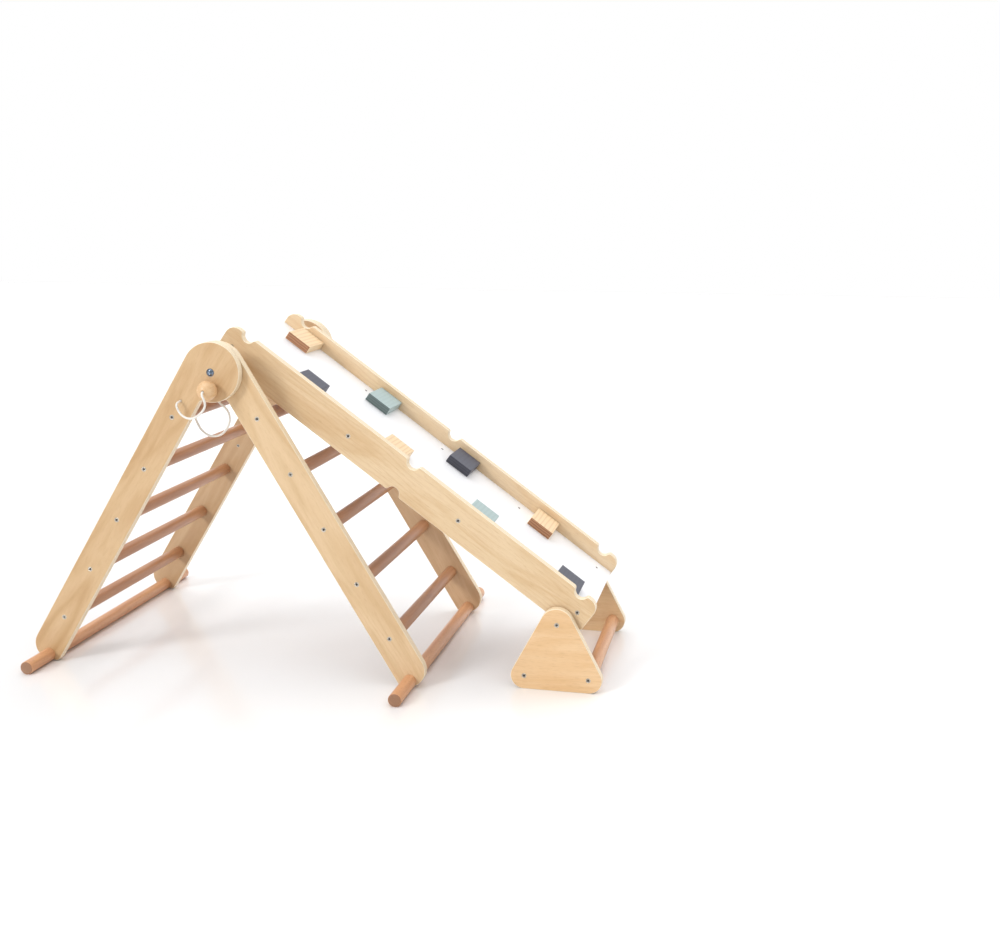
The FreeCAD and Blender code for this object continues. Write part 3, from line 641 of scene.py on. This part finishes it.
def heads_on(nodes, sheet):
    """Both heads of the screws that hold these dowels in a pair of sheets."""
    found = []
    for node_name in nodes:
        low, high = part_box(node_name)
        for label, sign in SIDES:
            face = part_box(sheet + "_" + label)[0 if sign < 0 else 1].y
            found.append((Vector(((low.x + high.x) / 2, face, (low.z + high.z) / 2)), sign))
    return found


def on_ramp(u, v, y):
    """Point on the ramp: u down the slope from the pivot, v square to it and upwards."""
    return Vector((PIVOT.x + u * math.cos(RAMP_DROP) + v * math.sin(RAMP_DROP), y,
                   PIVOT.z - u * math.sin(RAMP_DROP) + v * math.cos(RAMP_DROP)))


screw_material = zinc_plate("zinc plated steel", ("#A8A095", "#CBC5BA"), 0.34)
socket_shade_material = socket_shade_black("painted socket shade")
RUNGS = range(1, 6)
make_screws("screws_front_ladder", "front_rung_screws", "front_ladder",
            heads_on(["front_rung_%d" % k for k in RUNGS], "front_rail"), screw_material)
make_screws("screws_back_ladder", "back_rung_screws", "back_ladder",
            heads_on(["back_rung_%d" % k for k in RUNGS], "back_rail"), screw_material)
make_screws("screws_stand", "stand_screws", "stand",
            heads_on(["stand_top_dowel", "stand_front_dowel", "stand_rear_dowel"], "stand_side"),
            screw_material)
RAMP_MIDDLE = (STAND_PIVOT - PIVOT).length / 2
RAMP_HEIGHT = 80 * MM
ramp_heads = []
for label, sign in SIDES:
    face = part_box("ramp_side_" + label)[0 if sign < 0 else 1].y
    for reach in RAMP_SCREW_PLACES:
        ramp_heads.append((on_ramp(RAMP_MIDDLE + reach, RAMP_HEIGHT / 2, face), sign))
make_screws("screws_ramp", "ramp_side_screws", "ramp", ramp_heads, screw_material)


BOLT_HEAD, BOLT_SHANK, BOLT_LENGTH = 8 * MM, 4 * MM, 66 * MM
BOLT_EDGE, BOLT_EDGE_EASE = 0.6 * MM, 0.2 * MM    # the head's upright edge, and how far the dome starts in
# the dome's arc has its centre this far under the head's seat, and runs between these angles. It starts
# lower than the edge, which leaves a fine groove inside the rim
DOME_SINK, DOME_RADIUS = 5.6 * MM, 9.0 * MM
DOME_START, DOME_END = 27, 60
BOLT_SOCKET, BOLT_SOCKET_DEPTH = 5 * MM, 3 * MM


def pivot_bolt(place):
    """A domed furniture bolt with a hexagonal socket."""
    bm = bmesh.new()
    dome = arc((0, -DOME_SINK), DOME_RADIUS, DOME_START, DOME_END, 8)
    outline = [(0, 0), (BOLT_HEAD, 0), (BOLT_HEAD, BOLT_EDGE)]
    outline += [point for point in dome if point[0] < BOLT_HEAD - BOLT_EDGE_EASE]
    flat_top = outline[-1]
    outline += [(0, flat_top[1])]
    turned(bm, outline, HEX_SEGMENTS, Matrix.Identity(4))
    bmesh.ops.dissolve_faces(bm, faces=[f for f in bm.faces
                                        if f.normal.z > 0.999 and f.calc_center_median().z > 1 * MM])
    hex_socket(bm, flat_top[0], BOLT_SOCKET, BOLT_SOCKET_DEPTH, flat_top[1])
    rod = bmesh.new()
    bmesh.ops.create_cone(rod, cap_ends=True, segments=24, radius1=BOLT_SHANK, radius2=BOLT_SHANK,
                          depth=BOLT_LENGTH, matrix=Matrix.Translation((0, 0, -BOLT_LENGTH / 2)))
    whole = joined([bm, rod])
    bmesh.ops.transform(whole, matrix=place, verts=whole.verts)
    return whole


bolt_material = zinc_plate("blue zinc plated steel", ("#55616F", "#8D9AAB"), 0.2)
bolts = joined([pivot_bolt(outwards(Vector((PIVOT.x, sign * (RAIL_FACE + STAND_OFF), PIVOT.z)), sign))
                for label, sign in SIDES])
bolt_pair = new_piece("pivot_bolt_pair", bolts, bolt_material, "front_ladder",
                      ("pivot_bolts",))
bolt_pair.data.materials.append(socket_shade_material)


# ---------------------------------------------------------------- lock balls

def make_ball(label, sign, material):
    """A turned beech ball: a flat seat towards the rail and an eased hole for the cord in front."""
    bm = bmesh.new()
    radius, seat, hole, depth, ease = 20 * MM, 19 * MM, 2.9 * MM, 6 * MM, 0.8 * MM
    seat_ease = 2.0                               # degrees of the skin left out for a bevel at the seat
    from_hole = math.degrees(math.acos((hole + ease) / radius))
    to_seat = -math.degrees(math.asin(seat / radius)) + seat_ease
    skin = arc((0, 0), radius, from_hole, to_seat, 40)
    seat_radius = math.sqrt(radius ** 2 - seat ** 2)
    top = math.sqrt(radius ** 2 - hole ** 2)
    outline = ([(0, radius - depth), (hole, radius - depth), (hole, top - ease)] + skin
               + [(seat_radius, -seat), (0, -seat)])
    centre = Vector((PIVOT.x, sign * (RAIL_FACE + STAND_OFF + seat), LOCK_Z))
    turned(bm, outline, 64, outwards(centre, sign))
    new_piece("lock_ball_" + label, bm, material, label + "_lock",
              ("lock_knob_" + label,))


BALL_WOOD = ("#D6AB7B", "#E0B98B", "#E7C59B")
BALL_SEED = 31                                    # past the seed of every dowel
for side_label, side_sign in SIDES:
    ball_material = lacquered_beech("lacquered light beech ball " + side_label, BALL_WOOD, BALL_WOOD,
                                    "#BE9160", BALL_SEED + side_sign)
    make_ball(side_label, side_sign, ball_material)


# ---------------------------------------------------------------- climbing blocks and small fittings

# each finish: side light and dark, end-face light and dark, and the strength of the growth lines. The end-face
# tones are darker partly as end grain and partly as painted shade
BLOCK_FINISHES = {
    "natural": ("#EFD3AA", "#D9AF7E", "#BA8762", "#8F6040", 0.5),
    "dark": ("#4B4D5B", "#3C3E4B", "#454651", "#363742", 0.35),
    "mint": ("#ABBEBD", "#95A9A8", "#6B7B7A", "#5A6968", 0.3),
}
BLOCK_ORDER = ("natural", "dark", "mint", "natural", "dark", "mint", "natural", "dark")

for number, finish in enumerate(BLOCK_ORDER, 1):
    light, dark, end_light, end_dark, strength = BLOCK_FINISHES[finish]
    material = solid_wood_block("%s softwood %d" % (finish, number), light, dark, end_light, end_dark,
                                strength, number)
    dress(frame["nodes"]["climbing_block_%d" % number], material)

for node_name in ("block_screws", "rail_inserts", "pivot_washers", "lock_pin_near", "lock_pin_far"):
    dress(frame["nodes"][node_name], screw_material)
dress(frame["nodes"]["board_inserts"], socket_shade_material)


# ---------------------------------------------------------------- floor and light

FLOOR_REACH = 12.0                                # metres each way from the middle
floor_bm = bmesh.new()
bmesh.ops.create_grid(floor_bm, x_segments=1, y_segments=1, size=FLOOR_REACH)
floor_mesh = bpy.data.meshes.new("floor")
floor_bm.to_mesh(floor_mesh)
floor_bm.free()
floor = bpy.data.objects.new("floor", floor_mesh)
bpy.context.scene.collection.objects.link(floor)
dress(floor, studio_floor("white studio floor"))

# the studio: white below and all round, fading from WALL_TOP up to CEILING_LOW into a dim ceiling. Both
# are the Z of a direction of length 1
WALL_TOP, CEILING_LOW = 0.17, 0.32
WALL_LIGHT, CEILING_LIGHT = 1.0, 0.33
world = bpy.data.worlds.new("studio")
bpy.context.scene.world = world
world.use_nodes = True
world_tree = world.node_tree
background = world_tree.nodes["Background"]
background.inputs["Color"].default_value = colour("#FFFFFF")
sky = add(world_tree, "TexCoord")
sky_height = add(world_tree, "SeparateXYZ", {"Vector": sky.outputs["Generated"]}).outputs["Z"]
light = add(world_tree, "MapRange", {"Value": sky_height, "From Min": WALL_TOP, "From Max": CEILING_LOW,
                                     "To Min": WALL_LIGHT, "To Max": CEILING_LIGHT})
world_tree.links.new(light.outputs["Result"], background.inputs["Strength"])


def aimed(name, data, place, aim):
    """Puts a lamp in its place and turns it to a point."""
    lamp = bpy.data.objects.new(name, data)
    bpy.context.scene.collection.objects.link(lamp)
    lamp.matrix_world = (Matrix.Translation(place)
                         @ (Vector(aim) - Vector(place)).to_track_quat("-Z", "Y").to_matrix().to_4x4())


# name, strength, width of the light in degrees, and where it comes from
LAMPS = (("key", 1.36, 17, (-1.75, -2.45, 1.6)),
         ("overhead", 2.35, 90, (0.3, 0.5, 3.0)),
         ("fill", 0.55, 90, (0.8, 2.5, 1.2)))

for lamp_name, power, spread, place in LAMPS:
    lamp_data = bpy.data.lights.new(lamp_name, "SUN")
    lamp_data.energy = power
    lamp_data.angle = math.radians(spread)
    aimed(lamp_name, lamp_data, place, (0.0, 0.0, 0.0))

bpy.context.scene.view_settings.view_transform = "Standard"
